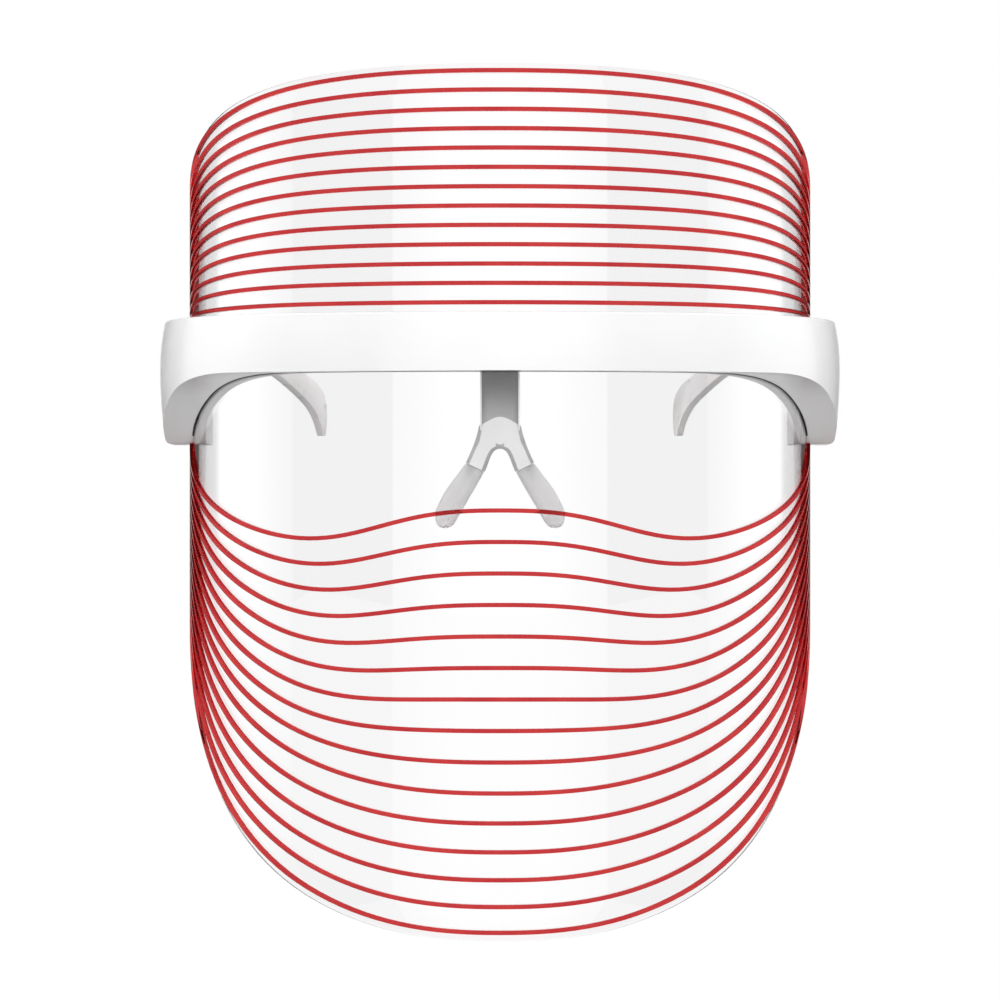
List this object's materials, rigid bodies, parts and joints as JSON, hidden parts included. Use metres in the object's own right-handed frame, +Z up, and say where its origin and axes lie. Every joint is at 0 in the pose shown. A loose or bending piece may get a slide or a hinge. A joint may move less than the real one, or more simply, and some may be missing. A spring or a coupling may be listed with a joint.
{
  "type": "led face mask",
  "caption": "LED face mask: a clear curved face shield crossed by red light lines, held in a white spectacle frame with a nose bridge and folding hooked temples.",
  "frame": {"origin": "top of the nose arch, where the mask rests on the bridge of the wearer's nose", "axes": "+Z up when worn, -Y the way the wearer looks, +X towards the wearer's left"},
  "size_m": [0.2022, 0.1731, 0.2427],
  "materials": {
    "clear_sheet": "clear polished polycarbonate",
    "light_line": "lit red light guide",
    "white_frame": "gloss white",
    "white_band": "satin white",
    "bridge_plastic": "satin white",
    "pad_silicone": "soft grey silicone",
    "temple_plastic": "satin white",
    "steel": "plated steel",
    "board": "green solder mask",
    "led": "clear resin",
    "battery_foil": "foil pouch",
    "socket_steel": "stamped shell",
    "button_plastic": "satin light grey",
    "switch_plastic": "black body",
    "flex_film": "amber film"
  },
  "bodies": {
    "mask": {"light_shield": "clear_sheet", "upper_light_lines": "light_line", "lower_light_lines": "light_line", "frame_shell": "white_frame", "inner_band": "white_band", "nose_bridge": "bridge_plastic", "left_nose_pad": "pad_silicone", "right_nose_pad": "pad_silicone", "left_hinge_pin": "steel", "right_hinge_pin": "steel", "cover_screws": "steel", "bridge_screws": "steel", "left_led_board": "board", "right_led_board": "board", "left_leds": "led", "right_leds": "led", "battery": "battery_foil", "control_board": "board", "charging_socket": "socket_steel", "button_switch": "switch_plastic", "flex_cable": "flex_film"},
    "left_arm": {"left_temple": "temple_plastic"},
    "right_arm": {"right_temple": "temple_plastic"},
    "button": {"power_button": "button_plastic"}
  },
  "joints": [
    {"name": "left_temple_fold", "type": "hinge", "parent": "mask", "child": "left_arm", "pos_m": [0.08395, 0.0695, 0.03075], "axis": [0, 0, 1], "range_deg": [0, 70]},
    {"name": "right_temple_fold", "type": "hinge", "parent": "mask", "child": "right_arm", "pos_m": [-0.08395, 0.0695, 0.03075], "axis": [0, 0, -1], "range_deg": [0, 70]},
    {"name": "power_button_press", "type": "slide", "parent": "mask", "child": "button", "axis": [0.9986, 0.0523, 0], "range_m": [0, 0.0005], "stiffness_N_per_m": 400}
  ]
}
